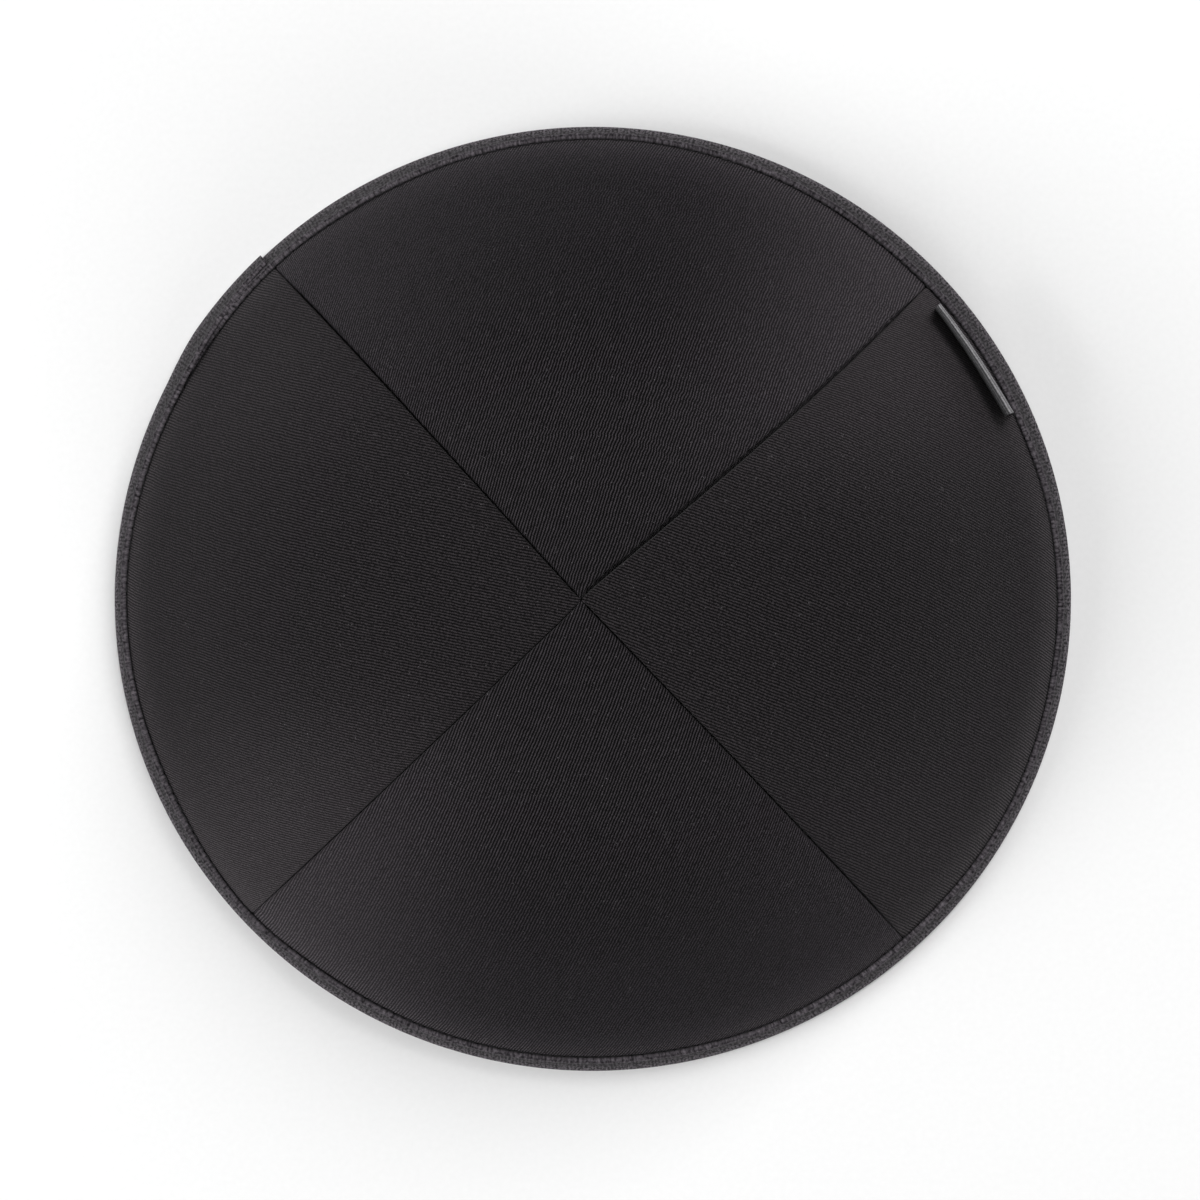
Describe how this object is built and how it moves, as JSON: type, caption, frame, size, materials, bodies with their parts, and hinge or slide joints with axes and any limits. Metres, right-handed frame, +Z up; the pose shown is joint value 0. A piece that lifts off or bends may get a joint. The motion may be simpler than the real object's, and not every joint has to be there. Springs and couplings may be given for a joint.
{
  "type": "kippah",
  "caption": "Shallow domed skullcap of sewn twill panels meeting at the crown, with a folded tape round the rim and a small folded tab at its edge.",
  "frame": {"origin": "middle of the rim, on the surface that the kippah rests on", "axes": "+Z up through the crown, +X to the right and +Y to the back as the picture shows it from above"},
  "size_m": [0.1798, 0.1774, 0.0521],
  "materials": {
    "crown_twill": "matt black cotton twill with fine diagonal lines",
    "rim_tape": "black ribbed tape, a little lighter than the twill",
    "tab_ribbon": "black satin ribbon, bare of any text"
  },
  "bodies": {
    "root": {"panel_back": "crown_twill", "panel_left": "crown_twill", "panel_front": "crown_twill", "panel_right": "crown_twill", "rim_binding": "rim_tape", "label_tab": "tab_ribbon"}
  },
  "joints": []
}
